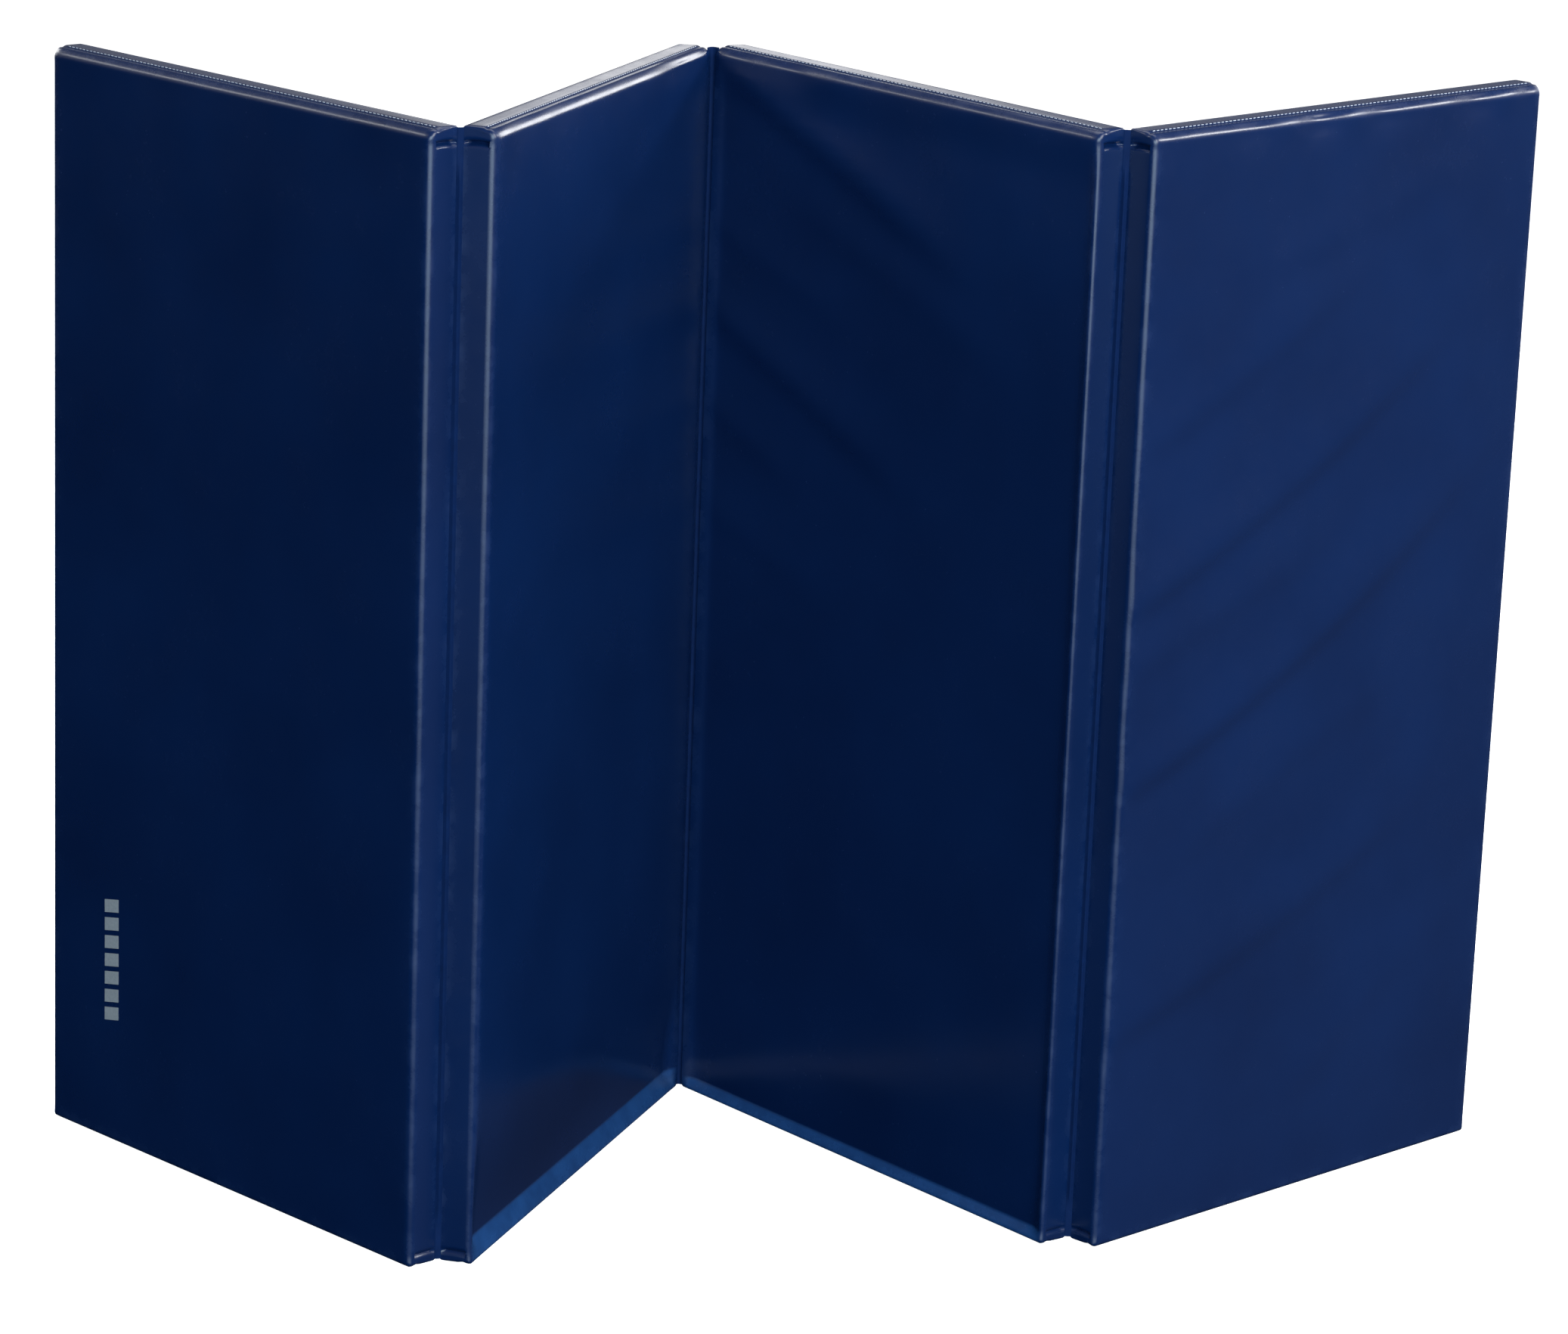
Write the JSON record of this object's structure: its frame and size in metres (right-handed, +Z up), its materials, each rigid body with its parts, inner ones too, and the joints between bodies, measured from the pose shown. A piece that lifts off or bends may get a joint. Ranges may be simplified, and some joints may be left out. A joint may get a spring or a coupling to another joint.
{
  "type": "folding gym mat",
  "caption": "Folding exercise mat: foam panels in vinyl covers, joined in an accordion by flexible hinge webs, standing on edge in a zigzag, with hook and loop tape on both free ends.",
  "frame": {"origin": "on the floor under the middle of the standing mat's bounding box", "axes": "+Z up, +X along the zigzag from the left free end to the right one, +Y from the front of the mat to the back"},
  "size_m": [1.6124, 0.6132, 1.2192],
  "materials": {
    "vinyl": "glossy navy vinyl-coated polyester with a faint leather-like grain",
    "foam": "matt closed-cell polyethylene foam",
    "loop_tape": "napped nylon loop",
    "hook_tape": "fine moulded nylon hooks"
  },
  "bodies": {
    "panel_2": {"panel_2_foam_core": "foam", "panel_2_front_cover": "vinyl", "panel_2_back_cover": "vinyl", "fold_1_hinge_web": "vinyl", "fold_2_hinge_web": "vinyl"},
    "panel_1": {"panel_1_foam_core": "foam", "panel_1_front_cover": "vinyl", "panel_1_back_cover": "vinyl", "left_end_hook_strip_lower": "hook_tape", "left_end_loop_patch_lower": "loop_tape", "left_end_hook_strip_middle": "hook_tape", "left_end_loop_patch_upper": "loop_tape", "left_end_hook_strip_upper": "hook_tape"},
    "panel_3": {"panel_3_foam_core": "foam", "panel_3_front_cover": "vinyl", "panel_3_back_cover": "vinyl", "fold_3_hinge_web": "vinyl"},
    "panel_4": {"panel_4_foam_core": "foam", "panel_4_front_cover": "vinyl", "panel_4_back_cover": "vinyl", "right_end_loop_strip_lower": "loop_tape", "right_end_hook_patch_lower": "hook_tape", "right_end_loop_strip_middle": "loop_tape", "right_end_hook_patch_upper": "hook_tape", "right_end_loop_strip_upper": "loop_tape"}
  },
  "joints": [
    {"name": "fold_1", "type": "hinge", "parent": "panel_2", "child": "panel_1", "pos_m": [-0.34205, -0.28043, 0], "axis": [0, 0, 1], "range_deg": [-65.6, 114.4], "deforming": ["fold_1_hinge_web"]},
    {"name": "fold_2", "type": "hinge", "parent": "panel_2", "child": "panel_3", "pos_m": [-0.10227, 0.28275, 0], "axis": [0, 0, 1], "range_deg": [-61.1, 118.9], "deforming": ["fold_2_hinge_web"]},
    {"name": "fold_3", "type": "hinge", "parent": "panel_3", "child": "panel_4", "pos_m": [0.33328, -0.14732, 0], "axis": [0, 0, -1], "range_deg": [-89.2, 90.8], "deforming": ["fold_3_hinge_web"]}
  ]
}
